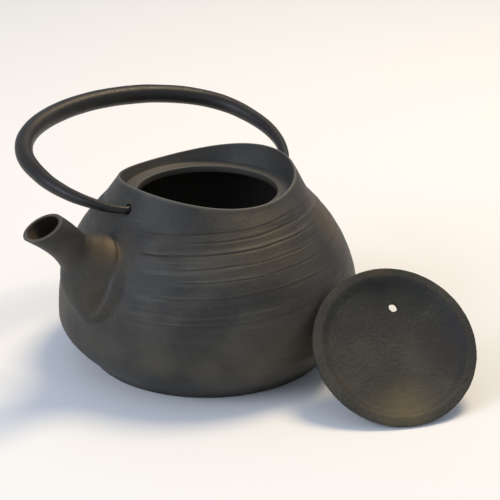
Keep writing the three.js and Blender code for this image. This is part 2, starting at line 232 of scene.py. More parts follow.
# The rings that a brush of coarse sand leaves: mean height, first and last angle round the pot, strength
brushedRings = {
    "seen": [
        (89.9, 10, 128, 0.75), (86.5, 25, 124, 0.85), (81.4, 0, 130, 1.3), (75.6, 35, 126, 1.0),
        (69.7, 30, 122, 0.95), (62.4, 25, 118, 0.8), (49.8, -10, 92, 0.6), (22.9, -50, 62, 0.5),
    ],
    "behind": 12, "behindFrom": 45, "behindTo": 90, "behindShift": 1.5,
    "behindMiddle": (180, 320), "behindHalf": (40, 65), "behindStrength": (0.5, 1.1), "seed": 7,
    # one ring's profile from below to above, over this many widths, and the level that is the bare skin
    "profile": [(0.22, 0.7), (0.34, 0.62), (0.43, 0), (0.52, 0.64), (0.61, 0.98), (0.72, 0.78)],
    "level": 0.7,
    "width": 0.68, "widthsBelow": 3, "widthsAbove": 4, "depth": 0.38, "fadeFrom": 0.72, "sunk": 0.06,
    "tilt": 2.6, "tiltTurn": 75, "tiltFrom": (28, 50), "tiltUntil": (90, 99),
    "waver": 1.6, "bandDepth": 0.55, "fineDepth": 0.36, "broken": 2.6, "seedStep": 0.37,
    # noise drawn out round the pot: how it changes round, its height in millimetres, detail
    "drawn": {
        "Waver": (2.6, 14, 1), "Band depth": (0.9, 4.2, 1.5),
        "Fine depth": (2.4, 1.5, 3), "Broken": (3.4, 8, 3),
    },
}
# Where the iron is brushed or worn, where the inside is painted lighter as bounce light, and where the
# throat, mouth wall
# and seat wall get painted shade: from and to, in millimetres off the face or edge that each names
marks = {
    "brushedHeights": (3, 14, 40, 48, 89, 93, 97, 101), "brushedShares": (0, 0.3, 0.45, 1, 1, 0.6, 0.3, 0),
    "skinDepth": 0.6, "offSpout": (1.5, 7), "offSocket": (3, 7), "socketsFrom": 40,
    "insideDepth": (0.7, 1.5), "underLedge": (-0.4, 0.6), "seatMargin": 2,
    "throatShadeDepth": (0.6, 1.4), "throatShadeOut": (0, 4), "mouthWallShade": (0.3, 0.9), "mouthShadeMargin": 1,
    "seatWallShadeMargin": 1.6, "seatWallShade": (0.4, 1.4), "seatWallShadeShare": 0.9, "seatWallShadeTop": (0.1, -1.2),
    "lipEdge": (-0.9, -0.1), "lipOffSpout": 3, "ledgeEdge": (0.3, 1.1), "ledgeEdgeShare": 0.8,
    "spoutEdge": (-0.7, -0.1), "spoutEdgeShare": 0.9, "spoutEdgeFrom": 88, "spoutSide": 30, "farOff": 99.0,
}


def outsideLine():
    k = kettle
    spread = k["bellyRadius"] - k["footRadius"]
    rise = k["neckHeight"] - k["bellyHeight"]
    shoulder = k["neckRadius"] + (k["bellyRadius"] - k["neckRadius"]) * k["shoulderFullness"]
    upright = k["footRound"] + k["bellyHeight"] * k["footUpright"]
    under = bezier([(k["footRadius"], k["footRound"]),
                    (k["footRadius"] + spread * k["footSpread"], upright),
                    (k["bellyRadius"], k["bellyHeight"] * (1 - k["bellyFullness"])),
                    (k["bellyRadius"], k["bellyHeight"])], k["underSteps"])
    above = bezier([(k["bellyRadius"], k["bellyHeight"]),
                    (k["bellyRadius"], k["bellyHeight"] + rise * k["shoulderUpright"]),
                    (shoulder, k["neckHeight"] - rise * k["neckRunIn"]),
                    (k["neckRadius"], k["neckHeight"])], k["aboveSteps"])
    return np.vstack([under, above[1:]])


def collarWave(angle):
    return kettle["earRise"] * np.cos(2 * angle) - kettle["lipTilt"] * np.cos(angle)


def collarLift(angle, radius, height):
    climb = smoothstep(height, kettle["neckHeight"], kettle["lipHeight"])
    return collarWave(angle) * climb * smoothstep(radius, 0, kettle["mouthRadius"])


def hollowLift(angle, radius, height):
    # only the seat's top edge follows the wave; the ledge is level
    k = kettle
    return collarWave(angle) * smoothstep(height, k["ledgeHeight"] + k["ledgeLevel"], k["lipHeight"])


def ringTilt(angle, height):
    # the brush went round a little askew: how far a ring stands above its mean height
    b = brushedRings
    reach = smoothstep(height, *b["tiltFrom"]) * (1 - smoothstep(height, *b["tiltUntil"]))
    return b["tilt"] * np.sin(angle - math.radians(b["tiltTurn"])) * reach


def kettleAngles():
    # sides all round, closer together where the spout joins
    k = kettle
    turn = np.linspace(-180, 180, 3601)
    weight = 1 + (k["spoutSideFineness"] - 1) * (1 - smoothstep(np.abs(turn), *k["spoutSideFade"]))
    count = np.r_[0, np.cumsum((weight[1:] + weight[:-1]) / 2)]
    return np.radians(np.interp(np.arange(k["sides"]) / k["sides"] * count[-1], count, turn))


def kettleOutside():
    k = kettle
    edge = k["lipRound"]
    foot = roundCorner((k["footRadius"] - k["footRound"], k["footRound"]), k["footRound"], -90, 0)[:-1]
    lip = roundCorner((k["lipRadius"] - edge, k["lipHeight"] - edge), edge, k["lipFrom"], 90, 6)
    line = evenly(np.vstack([foot, outsideLine(), lip[:1]]), k["readStep"])
    fine = smoothstep(line[:-1, 1], *k["fineFrom"]) * (1 - smoothstep(line[:-1, 1], *k["fineUntil"]))
    rowStep = k["plainStep"] + (k["fineStep"] - k["plainStep"]) * fine
    count = np.r_[0, np.cumsum(k["readStep"] / rowStep)]
    levels = pick(line, count, np.linspace(0, count[-1], int(count[-1]) + 1))[:, 1:]
    angle = kettleAngles()
    height = np.repeat(levels, len(angle), 1)
    for settle in range(k["settleRounds"]):
        height = levels + ringTilt(angle[None], height)
    radius = np.interp(height, line[:, 1], line[:, 0])
    same = np.ones_like(angle)
    inset = k["footRowInset"]
    rows = [(r * same, 0 * same) for r in np.linspace(inset, k["footRadius"] - inset, k["footRows"])]
    rows += list(zip(radius, height))
    rows += [(r * same, z * same) for r, z in lip[1:]]
    # the top stays closed until the hollow is cut
    capRadii = (k["mouthRadius"] + k["capInset"], k["mouthRadius"] / 2)
    rows += [(r * same, k["lipHeight"] * same) for r in capRadii]
    rings = [np.stack([r * np.cos(angle), r * np.sin(angle), z + collarLift(angle, r, z)], -1)
             for r, z in rows]
    return skinOfRings("kettleSkin", np.array(rings), (0, 0, 0), (0, 0, k["lipHeight"]))


def kettleHollow():
    k = kettle
    ceiling = k["ledgeHeight"] - k["ledgeThickness"]
    line = evenly(outsideLine(), k["hollowStep"])
    inside = line - k["wall"] * outwards(line)
    corner = k["floorCorner"]
    inside = inside[(inside[:, 1] > k["floor"] + corner) & (inside[:, 1] < ceiling - corner)]
    first, last = inside[0], inside[-1]
    edge = k["edgeRound"]
    seatTop = k["seatRadius"] + k["collarDraft"]
    profile = [(0, k["floor"]), (first[0] - k["floorInset"], k["floor"])]
    profile += [(first[0] - corner, k["floor"] + k["floorDip"])]
    profile += inside.tolist()
    profile += [(last[0] - (ceiling - last[1]), ceiling), (k["mouthRadius"], ceiling + k["ledgeDraft"])]
    profile += roundCorner((k["mouthRadius"] + edge, k["ledgeHeight"] - edge), edge, 180, 90)
    profile += [(k["seatRadius"] - edge, k["ledgeHeight"]), (k["seatRadius"], k["ledgeHeight"] + edge)]
    profile += [(seatTop, k["lipHeight"] - edge)]
    profile += [(seatTop + out, k["lipHeight"] + up) for out, up in k["seatEdge"]]
    profile += [(profile[-1][0], k["lipHeight"] + k["clearAbove"]), (0, k["lipHeight"] + k["clearAbove"])]
    return revolve("hollow", profile, kettleAngles(), hollowLift)


# Spout: an even tube at the tip, then a flare that swells into a bulb on the shoulder
spout = {
    "tipReach": 105.8, "tipHeight": 97.7, "tipRadius": 9.6, "tipAngle": 36.5, "mouthTilt": 24.3,
    "rootReach": 54, "rootHeight": 53, "rootAngle": 6.6, "bend": 0.71,
    "flareFromTip": 29.7, "flareLength": 57.1, "flareRadius": 32.8,
    "wall": 2.6, "lipWall": 1.7, "lipLength": 16, "crookReach": 12.4, "foldMargin": 0.1,
    "sides": 120, "sidesInside": 64, "rings": 110, "ringsMeasured": 150,
    "lineSteps": 400, "lineStep": 0.25, "mouthBlock": 4, "mouthFan": 5,
    # the soft run-in: its size, where it is full and gone, what it may touch, and how it is worked out
    "blend": 1.3, "blendFull": 3, "blendGone": 4.4, "blendReach": 4.5,
    "blendLow": (40, -45, 8), "blendHigh": (math.inf, 45, 92),
    "relaxRounds": 6, "relaxShare": 0.5, "pulls": 2, "slopeStep": 0.1, "leastSlope": 0.2,
}


def spoutLine():
    s = spout
    root = np.array([s["rootReach"], 0, s["rootHeight"]], float)
    tip = np.array([s["tipReach"], 0, s["tipHeight"]], float)
    hold = np.linalg.norm(tip - root) * s["bend"]
    leave, arrive = (np.array([math.cos(math.radians(s[key])), 0, math.sin(math.radians(s[key]))])
                     for key in ("rootAngle", "tipAngle"))
    line = bezier([root, root + leave * hold, tip - arrive * hold, tip], s["lineSteps"])
    return evenly(line, s["lineStep"])


def spoutBall(fromTip):
    swell = smoothstep(fromTip, spout["flareFromTip"], spout["flareFromTip"] + spout["flareLength"])
    return spout["tipRadius"] + (spout["flareRadius"] - spout["tipRadius"]) * swell


def spoutWallAt(fromTip):
    s = spout
    return s["lipWall"] + (s["wall"] - s["lipWall"]) * smoothstep(fromTip, 0, s["lipLength"])


def spoutPath(past, count):
    # places, directions and distances from the tip, run on straight before the root and past the tip
    line = spoutLine()
    length = runLength(line)[-1]
    along = np.linspace(length - spout["flareFromTip"] - spout["flareLength"], length + past, count)
    within = along.clip(0, length)
    ahead = pick(np.gradient(line, axis=0), runLength(line), within)
    ahead /= np.linalg.norm(ahead, axis=1)[:, None]
    return pick(line, runLength(line), within) + ahead * (along - within)[:, None], ahead, length - along


def spoutBar(name, thinner, past, sides):
    # the rings where a swelling ball touches its own sweep
    place, ahead, fromTip = spoutPath(past, spout["rings"])
    ball = spoutBall(fromTip) - thinner(fromTip)
    growth = spoutBall(fromTip + 0.5) - spoutBall(fromTip - 0.5)
    centre = place + ahead * (ball * growth)[:, None]
    radius = ball * np.sqrt(1 - growth ** 2)
    across = np.cross((0, -1, 0), ahead) * radius[:, None]
    top, foot = centre + across, centre - across
    # inside the bend the tops fold back into the sweep: those and the ones within reach of them are
    # spread over the corner, so that the bulb's top runs on to the tube
    folded = (np.linalg.norm(top[:, None] - place[None], axis=2) < ball[None] - spout["foldMargin"]).any(1)
    clear = (np.abs(fromTip[:, None] - fromTip[folded][None]) > spout["crookReach"]).all(1)
    clear[[0, -1]] = True
    top = pick(top[clear], np.flatnonzero(clear), np.arange(len(top)))
    return barAlong(name, (top + foot) / 2, (top - foot) / 2, radius, (0, -1, 0), sides)


def spoutMouthCut():
    # its underside is a fan of narrow faces, so that the spout's lip stays a clean ring
    size = spout["tipRadius"] * spout["mouthBlock"]
    fan = np.radians(np.arange(0, 360, spout["mouthFan"]))
    block = revolve("mouthCut", [(0, 0), (size, 0), (size, 2 * size), (0, 2 * size)], fan)
    turn = Matrix.Rotation(math.radians(spout["mouthTilt"]), 4, "Y")
    place = Matrix.Translation(Vector((spout["tipReach"], 0, spout["tipHeight"])) * mm)
    block.data.transform(place @ turn)
    return block


def kettleDistance(points):
    # signed distance to the outside of belly, shoulder and collar, close to it
    k = kettle
    line = evenly(np.vstack([outsideLine(), [(k["lipRadius"], k["lipHeight"])]]), k["measureStep"])
    out = outwards(line)
    angle = np.arctan2(points[:, 1], points[:, 0])
    radius = np.hypot(points[:, 0], points[:, 1])
    height = points[:, 2]
    for settle in range(k["settleRounds"]):
        height = points[:, 2] - collarLift(angle, radius, height)
    flat = np.stack([radius, height], -1)
    nearest = np.concatenate([np.argmin(((line[None] - part[:, None]) ** 2).sum(2), axis=1)
                              for part in np.array_split(flat, 1 + len(flat) // batch)])
    return ((flat - line[nearest]) * out[nearest]).sum(1)


def spoutDistance(points):
    # least distance to any place of the swelling ball
    place, _, fromTip = spoutPath(0, spout["ringsMeasured"])
    ball = spoutBall(fromTip)
    return np.concatenate([(np.linalg.norm(part[:, None] - place[None], axis=2) - ball[None]).min(1)
                           for part in np.array_split(points, 1 + len(points) // batch)])


def softUnion(points):
    a = kettleDistance(points)
    b = spoutDistance(points)
    mix = np.maximum(spout["blend"] - np.abs(a - b), 0) / spout["blend"]
    return np.minimum(a, b) - mix * mix * spout["blend"] * 0.25


def blendSpoutRoot(skin):
    # relaxes the points round the joint and draws them onto one soft surface, as the mould has
    s = spout
    points = pointsOf(skin)
    near = np.where(((points > s["blendLow"]) & (points < s["blendHigh"])).all(1))[0]
    a = kettleDistance(points[near])
    b = spoutDistance(points[near])
    away = np.maximum(np.abs(a), np.abs(b))
    zone = near[away < s["blendReach"]]
    share = 1 - smoothstep(away[away < s["blendReach"]], s["blendFull"], s["blendGone"])
    before = points[zone]
    edges = np.zeros(len(skin.data.edges) * 2, np.int32)
    skin.data.edges.foreach_get("vertices", edges)
    edges = edges.reshape(-1, 2)
    count = np.bincount(edges.ravel(), minlength=len(points))[zone][:, None]
    for relax in range(s["relaxRounds"]):
        total = np.zeros_like(points)
        np.add.at(total, edges[:, 0], points[edges[:, 1]])
        np.add.at(total, edges[:, 1], points[edges[:, 0]])
        points[zone] += s["relaxShare"] * (total[zone] / count - points[zone])
        for pull in range(s["pulls"]):
            here = points[zone]
            value = softUnion(here)
            slope = np.stack([softUnion(here + s["slopeStep"] * axis) - value for axis in np.eye(3)], -1)
            slope /= s["slopeStep"]
            slope /= np.maximum((slope ** 2).sum(1), s["leastSlope"])[:, None]
            points[zone] = here - slope * value[:, None]
    points[zone] = before + (points[zone] - before) * share[:, None]
    setPoints(skin, points)


def markKettle(skin):
    # what the relief and the iron's colour read: ring height, how far brushed, inside (bare iron painted
    # lighter as bounce light), throat (painted shade in the spout's bore and on the mouth and seat walls),
    # worn edges
    k, m = kettle, marks
    points = pointsOf(skin)
    angle = np.arctan2(points[:, 1], points[:, 0])
    radius = np.hypot(points[:, 0], points[:, 1])
    depth = kettleDistance(points)
    spoutward = np.full(len(points), m["farOff"])
    near = points[:, 0] > m["spoutSide"]
    spoutward[near] = spoutDistance(points[near])
    brushed = np.interp(points[:, 2], m["brushedHeights"], m["brushedShares"])
    brushed *= (np.abs(depth) < m["skinDepth"]) * smoothstep(spoutward, *m["offSpout"])
    socket = np.hypot(points[:, 1], points[:, 2] - bail["pivotHeight"])
    brushed *= np.where(np.abs(points[:, 0]) > m["socketsFrom"], smoothstep(socket, *m["offSocket"]), 1)
    ledge = k["ledgeHeight"] - points[:, 2]
    # the inside of the hollow: bare iron, its colour painted lighter to stand in for bounce light
    inside = smoothstep(-np.minimum(depth, spoutward), *m["insideDepth"])
    inside *= np.where(radius < k["seatRadius"] + m["seatMargin"], smoothstep(ledge, *m["underLedge"]), 1)
    # painted shade in the spout's bore and on the mouth's inner wall
    throatShade = smoothstep(-spoutward, *m["throatShadeDepth"]) * smoothstep(depth, *m["throatShadeOut"])
    margin = m["mouthShadeMargin"]
    within = (radius < k["mouthRadius"] + margin) & (ledge < k["ledgeThickness"] + margin)
    throatShade = np.maximum(throatShade, smoothstep(ledge, *m["mouthWallShade"]) * within)
    lipLift = collarLift(angle, radius, np.full(len(points), k["lipHeight"]))
    belowLip = points[:, 2] - lipLift - k["lipHeight"]
    # painted shade on the seat wall inside the collar
    seatWallShade = (np.abs(radius - k["seatRadius"]) < m["seatWallShadeMargin"]) * smoothstep(-ledge, *m["seatWallShade"])
    seatWallShade = seatWallShade * m["seatWallShadeShare"] * smoothstep(belowLip, *m["seatWallShadeTop"])
    throatShade = np.maximum(throatShade, seatWallShade)
    worn = smoothstep(belowLip, *m["lipEdge"]) * (spoutward > m["lipOffSpout"])
    mouthEdge = np.hypot(radius - k["mouthRadius"], points[:, 2] - k["ledgeHeight"])
    worn = np.maximum(worn, (1 - smoothstep(mouthEdge, *m["ledgeEdge"])) * m["ledgeEdgeShare"])
    tilt = math.radians(spout["mouthTilt"])
    above = (points - (spout["tipReach"], 0, spout["tipHeight"])) @ (math.sin(tilt), 0, math.cos(tilt))
    atTip = (points[:, 0] > m["spoutEdgeFrom"]) * m["spoutEdgeShare"]
    worn = np.maximum(worn, smoothstep(above, *m["spoutEdge"]) * atTip)
    setAttribute(skin, "ringHeight", points[:, 2] - ringTilt(angle, points[:, 2]))
    setAttribute(skin, "brushed", brushed)
    setAttribute(skin, "inside", inside)
    setAttribute(skin, "throatShade", throatShade)
    setAttribute(skin, "worn", worn)


def ringTree():
    # each ring is a shallow groove with a low ridge above it, dying away at both ends, over broad
    # bands and fine brush lines
    b = brushedRings
    tree, sizes = shapeTree("brushed rings", ["Depth", "Seed", *b["drawn"]])
    height = node(tree, "GeometryNodeInputNamedAttribute", {0: "ringHeight"}, data_type="FLOAT").outputs[0]
    brushed = node(tree, "GeometryNodeInputNamedAttribute", {0: "brushed"}, data_type="FLOAT").outputs[0]
    place = node(tree, "GeometryNodeInputPosition").outputs[0]
    flat = node(tree, "ShaderNodeVectorMath", {0: place, 1: (1, 1, 0)}, operation="MULTIPLY").outputs[0]
    way = node(tree, "ShaderNodeVectorMath", {0: flat}, operation="NORMALIZE").outputs[0]
    drawn = {}
    for label, (across, tall, detail) in b["drawn"].items():
        level = node(tree, "ShaderNodeMath", {
            0: height, 1: 1 / tall, 2: sizes["Seed"]}, operation="MULTIPLY_ADD").outputs[0]
        up = node(tree, "ShaderNodeCombineXYZ", {2: level}).outputs[0]
        spot = node(tree, "ShaderNodeVectorMath", {
            0: way, 1: (across,) * 3, 2: up}, operation="MULTIPLY_ADD").outputs[0]
        cloud = node(tree, "ShaderNodeTexNoise", {"Vector": spot, "Scale": 1, "Detail": detail})
        even = node(tree, "ShaderNodeMath", {0: cloud.outputs[0], 1: 0.5}, operation="SUBTRACT").outputs[0]
        drawn[label] = node(tree, "ShaderNodeMath", {
            0: even, 1: sizes[label]}, operation="MULTIPLY").outputs[0]
    level = node(tree, "ShaderNodeMath", {0: height, 1: drawn["Waver"]}).outputs[0]
    chance = np.random.default_rng(b["seed"])
    rings = list(b["seen"])
    for mean in np.linspace(b["behindFrom"], b["behindTo"], b["behind"]):
        middle, half = chance.uniform(*b["behindMiddle"]), chance.uniform(*b["behindHalf"])
        shifted = mean + chance.uniform(-b["behindShift"], b["behindShift"])
        rings.append((shifted, middle - half, middle + half, chance.uniform(*b["behindStrength"])))
    total = 0.0
    for mean, first, last, strength in rings:
        low, high = mean - b["widthsBelow"] * b["width"], mean + b["widthsAbove"] * b["width"]
        share = node(tree, "ShaderNodeMapRange", {0: level, 1: low, 2: high}).outputs[0]
        shape = node(tree, "ShaderNodeFloatCurve", {1: share})
        curve = shape.mapping.curves[0]
        curve.points[0].location = (0, b["level"])
        curve.points[-1].location = (1, b["level"])
        for across, up in b["profile"]:
            curve.points.new(across, up)
        shape.mapping.update()
        middle, half = math.radians((first + last) / 2), math.radians((last - first) / 2)
        facing = (math.cos(middle), math.sin(middle), 0)
        near = node(tree, "ShaderNodeVectorMath", {
            0: way, 1: facing}, operation="DOT_PRODUCT").outputs["Value"]
        ends = {0: near, 1: math.cos(half), 2: math.cos(half * b["fadeFrom"]), 4: strength}
        fade = node(tree, "ShaderNodeMapRange", ends, interpolation_type="SMOOTHSTEP").outputs[0]
        rise = node(tree, "ShaderNodeMath", {
            0: shape.outputs[0], 1: b["level"]}, operation="SUBTRACT").outputs[0]
        total = node(tree, "ShaderNodeMath", {
            0: rise, 1: fade, 2: total}, operation="MULTIPLY_ADD").outputs[0]
    drift = node(tree, "ShaderNodeMath", {0: drawn["Band depth"], 1: drawn["Fine depth"]}).outputs[0]
    share = node(tree, "ShaderNodeMath", {0: drawn["Broken"], 1: 1}, use_clamp=True).outputs[0]
    cut = node(tree, "ShaderNodeMath", {0: share, 1: sizes["Depth"]}, operation="MULTIPLY").outputs[0]
    relief = node(tree, "ShaderNodeMath", {0: total, 1: cut, 2: drift}, operation="MULTIPLY_ADD").outputs[0]
    lower = node(tree, "ShaderNodeMath", {0: relief, 1: b["sunk"]}, operation="SUBTRACT").outputs[0]
    relief = node(tree, "ShaderNodeMath", {0: lower, 1: brushed}, operation="MULTIPLY").outputs[0]
    kept = node(tree, "GeometryNodeStoreNamedAttribute", {
        "Geometry": sizes["Geometry"], "Name": "relief", "Value": relief}, data_type="FLOAT")
    pushOut(tree, kept.outputs[0], relief, sizes["Material"])
    return tree


def kettleSkin(material):
    s = spout
    skin = kettleOutside()
    outsideSpout = spoutBar("spoutOut", lambda fromTip: 0, s["tipRadius"], s["sides"])
    outsideSpout = cutOrJoin(outsideSpout, spoutMouthCut(), "DIFFERENCE")
    cutOrJoin(skin, outsideSpout, "UNION")
    blendSpoutRoot(skin)
    cutOrJoin(skin, kettleHollow(), "DIFFERENCE")
    cutOrJoin(skin, spoutBar("spoutIn", spoutWallAt, 2 * s["tipRadius"], s["sidesInside"]), "DIFFERENCE")
    for sign in (1, -1):
        start = (sign * bail["socketBottom"], 0, bail["pivotHeight"])
        end = (sign * kettle["neckRadius"], 0, bail["pivotHeight"])
        radii = np.full(3, bail["socketRadius"])
        socket = straightBar("socket", start, end, radii, (0, 1, 0), bail["sides"])
        cutOrJoin(skin, socket, "DIFFERENCE")
    markKettle(skin)
    b = brushedRings
    return runTree(skin, ringTree(), {
        "Depth": b["depth"], "Band depth": b["bandDepth"], "Fine depth": b["fineDepth"],
        "Waver": b["waver"], "Broken": b["broken"], "Seed": b["seed"] * b["seedStep"],
        "Material": material})


# Bail: a tapered bar bent in one flat plane, with a straight peg at each end
bail = {
    "pivotHeight": 94.3, "halfWidth": 76, "reach": 107.5, "widestAt": 46.6, "turnReach": 57,
    "sideCurve": 2.2, "topCurve": 0.85, "barRadius": 5.65, "endRadius": 1.95, "taper": 2.4, "lean": 76.8,
    "pegReach": 48.9, "pegStraight": 5.6, "socketRadius": 2.65, "socketBottom": 48.4,
    # shares of the way up to the widest place, and then degrees round to the top, where the line is set
    "pegShares": (0, 0.5, 1), "sideShares": (0.12, 0.3, 0.5, 0.75, 1), "topAngles": (15, 30, 45, 60, 75),
    "sides": 40, "step": 0.8, "spanSteps": 12,
    # hammered a little uneven where the bar is thicker than its pegs
    "unevenness": 0.4, "unevenSize": 16, "unevenLevel": 0.6, "smoothRadius": 2.2, "unevenRadius": 3.2,
}


def bailLine():
    b = bail
    points = [(b["pegReach"] + b["pegStraight"] * share, 0) for share in b["pegShares"]]
    for share in b["sideShares"]:
        spread = 1 - (1 - share) ** b["sideCurve"]
        points.append((b["turnReach"] + (b["halfWidth"] - b["turnReach"]) * spread, b["widestAt"] * share))
    for degrees in b["topAngles"]:
        angle = math.radians(degrees)
        up = b["widestAt"] + (b["reach"] - b["widestAt"]) * math.sin(angle) ** b["topCurve"]
        points.append((b["halfWidth"] * math.cos(angle), up))
    half = np.array(points)
    return np.vstack([half, [(0, b["reach"])], half[::-1] * (-1, 1)])


def smoothLine(points, step):
    # centripetal spline through the points
    padded = np.vstack([2 * points[0] - points[1], points, 2 * points[-1] - points[-2]])
    out = []
    for k in range(1, len(padded) - 2):
        p = padded[k - 1:k + 3]
        t = np.r_[0, np.cumsum(np.linalg.norm(np.diff(p, axis=0), axis=1) ** 0.5)]
        s = np.linspace(t[1], t[2], bail["spanSteps"], endpoint=False)[:, None]
        a1 = (t[1] - s) / (t[1] - t[0]) * p[0] + (s - t[0]) / (t[1] - t[0]) * p[1]
        a2 = (t[2] - s) / (t[2] - t[1]) * p[1] + (s - t[1]) / (t[2] - t[1]) * p[2]
        a3 = (t[3] - s) / (t[3] - t[2]) * p[2] + (s - t[2]) / (t[3] - t[2]) * p[3]
        b1 = (t[2] - s) / (t[2] - t[0]) * a1 + (s - t[0]) / (t[2] - t[0]) * a2
        b2 = (t[3] - s) / (t[3] - t[1]) * a2 + (s - t[1]) / (t[3] - t[1]) * a3
        out.append((t[2] - s) / (t[2] - t[1]) * b1 + (s - t[1]) / (t[2] - t[1]) * b2)
    return evenly(np.vstack(out + [points[-1:]]), step)


def barTree():
    # a round bar along the line, as thick at each point as its attribute says, worked a little uneven
    b = bail
    tree, sizes = shapeTree("tapered bar", ["Sides", "Unevenness", "Uneven size"])
    thick = node(tree, "GeometryNodeInputNamedAttribute", {0: "barRadius"}, data_type="FLOAT").outputs[0]
    line = node(tree, "GeometryNodeMeshToCurve", {"Mesh": sizes["Geometry"]}).outputs[0]
    circle = node(tree, "GeometryNodeCurvePrimitiveCircle", {
        "Resolution": sizes["Sides"], "Radius": 1}).outputs[0]
    bar = node(tree, "GeometryNodeCurveToMesh", {
        "Curve": line, "Profile Curve": circle, "Scale": thick, "Fill Caps": True}).outputs[0]
    scale = node(tree, "ShaderNodeMath", {
        0: 1 / mm, 1: sizes["Uneven size"]}, operation="DIVIDE").outputs[0]
    cloud = node(tree, "ShaderNodeTexNoise", {"Scale": scale, "Detail": 1}).outputs[0]
    even = node(tree, "ShaderNodeMath", {0: cloud, 1: b["unevenLevel"]}, operation="SUBTRACT").outputs[0]
    rough = node(tree, "ShaderNodeMath", {0: even, 1: sizes["Unevenness"]}, operation="MULTIPLY").outputs[0]
    clearOfPeg = node(tree, "ShaderNodeMapRange", {
        0: thick, 1: b["smoothRadius"] * mm, 2: b["unevenRadius"] * mm}).outputs[0]
    relief = node(tree, "ShaderNodeMath", {0: rough, 1: clearOfPeg}, operation="MULTIPLY").outputs[0]
    pushOut(tree, bar, relief, sizes["Material"])
    return tree


def bailBar(material):
    b = bail
    flat = smoothLine(bailLine(), b["step"])
    along = runLength(flat)
    fromPeg = np.minimum(along, along[-1] - along) - b["pegStraight"]
    climb = np.maximum(fromPeg / (along[-1] / 2 - b["pegStraight"]), 0)
    radius = b["endRadius"] + (b["barRadius"] - b["endRadius"]) * (1 - (1 - climb) ** b["taper"])
    mesh = bpy.data.meshes.new("bailBar")
    mesh.from_pydata([(x * mm, 0, z * mm) for x, z in flat], [(k, k + 1) for k in range(len(flat) - 1)], [])
    bar = bpy.data.objects.new("bailBar", mesh)
    bpy.context.scene.collection.objects.link(bar)
    setAttribute(bar, "barRadius", radius * mm)
    runTree(bar, barTree(), {
        "Sides": float(b["sides"]), "Unevenness": b["unevenness"], "Uneven size": float(b["unevenSize"]),
        "Material": material})
    turn = Matrix.Rotation(math.radians(b["lean"]), 4, "X")
    bar.data.transform(Matrix.Translation((0, 0, b["pivotHeight"] * mm)) @ turn)
    return bar


# Lid in its own frame: rim plane at zero, knob upwards, then leaned beside the kettle
lid = {
    "radius": 43.75, "rim": 2.8, "edgeRound": 0.9, "faceRound": 0.5, "plate": 2.6,
    "band": 4.6, "topBand": 3,
    "dishDepth": 6.4, "stepDepth": 2, "stepWidth": 5,
    "dishFlatness": 2.4, "domeFlatness": 2.2, "curveSteps": 120,
    "knobNeck": 4.6, "knobFlare": 2, "flareShare": 0.33, "knobRadius": 9.5, "knobHeight": 18,
    "waistShare": 0.22, "headShare": 0.34, "headFrom": -55, "headSteps": 30,
    "placeX": -30.7, "placeY": 115.4, "facing": 62.5, "lean": 47, "floorGap": 0.1,
    "sides": 216, "step": 0.7, "grainDepth": 0.34, "grainSize": 1.3, "lumpSize": 9, "grainLevel": 1.25,
}
# The steam hole through the lid, a little wider at both faces where the sand core left its edge soft
steamHole = {
    "radius": 2.3, "offset": 23.3, "turn": 102.6, "low": 3.6, "high": 8.6, "rings": 21, "sides": 40,
    "middle": 6.15, "widening": 0.25, "widenFrom": (0.7, 2.1),
}


def lidProfile():
    d = lid
    dish = d["radius"] - d["band"]
    crown = d["dishDepth"] + d["plate"]
    inner = d["knobNeck"] + d["knobFlare"]
    outer = d["radius"] - d["topBand"]
    share = np.linspace(0, 1, d["curveSteps"])
    step = d["stepDepth"] * (1 - smoothstep(dish * (1 - share), d["stepWidth"], 0))
    bowl = (d["dishDepth"] - d["stepDepth"]) * (1 - share ** d["dishFlatness"])
    under = np.stack([dish * share, bowl + step], -1)
    face = roundCorner((d["radius"] - d["faceRound"], d["faceRound"]), d["faceRound"], -90, 0)
    edge = roundCorner((d["radius"] - d["edgeRound"], d["rim"] - d["edgeRound"]), d["edgeRound"], 0, 90, 6)
    share = share[::-1]
    over = np.stack([inner + (outer - inner) * share,
                     d["rim"] + (crown - d["rim"]) * (1 - share ** d["domeFlatness"])], -1)
    flare = d["knobFlare"] * d["flareShare"]
    waist = crown + d["knobHeight"] * d["waistShare"]
    neck = [(d["knobNeck"] + flare, crown + flare), (d["knobNeck"], waist)]
    half = d["knobHeight"] * d["headShare"]
    turn = np.radians(np.linspace(d["headFrom"], 90, d["headSteps"]))
    headHeight = crown + d["knobHeight"] - half + half * np.sin(turn)
    head = np.stack([d["knobRadius"] * np.cos(turn), headHeight], -1)
    head[-1, 0] = 0
    return evenly(np.vstack([under, face, edge, over, neck, head]), d["step"])


def lidPlace():
    d = lid
    lean = math.radians(d["lean"])
    drop = (d["radius"] - d["edgeRound"]) * math.cos(lean) + (d["rim"] - d["edgeRound"]) * math.sin(lean)
    middle = Vector((d["placeX"], d["placeY"], drop + d["edgeRound"] + d["floorGap"]))
    place = Matrix.Translation(middle * mm)
    face = Matrix.Rotation(math.radians(d["facing"]), 4, "Z")
    tip = Matrix.Rotation(math.radians(-90) - lean, 4, "Y")
    return place @ (face @ tip) @ Matrix.Rotation(math.radians(-90), 4, "Z")


def grainTree():
    # the coarse sand face of the casting: soft lumps about as wide as the sand was rammed, and a finer grit
    tree, sizes = shapeTree("sand grain", ["Grain depth", "Grain size"])
    scale = node(tree, "ShaderNodeMath", {0: 1 / mm, 1: sizes["Grain size"]}, operation="DIVIDE").outputs[0]
    cloud = node(tree, "ShaderNodeTexNoise", {"Scale": scale, "Detail": 2}).outputs[0]
    broad = node(tree, "ShaderNodeTexNoise", {"Scale": 1 / (lid["lumpSize"] * mm), "Detail": 1}).outputs[0]
    both = node(tree, "ShaderNodeMath", {0: cloud, 1: broad}).outputs[0]
    even = node(tree, "ShaderNodeMath", {0: both, 1: lid["grainLevel"]}, operation="SUBTRACT").outputs[0]
    relief = node(tree, "ShaderNodeMath", {
        0: even, 1: sizes["Grain depth"]}, operation="MULTIPLY").outputs[0]
    pushOut(tree, sizes["Geometry"], relief, sizes["Material"])
    return tree


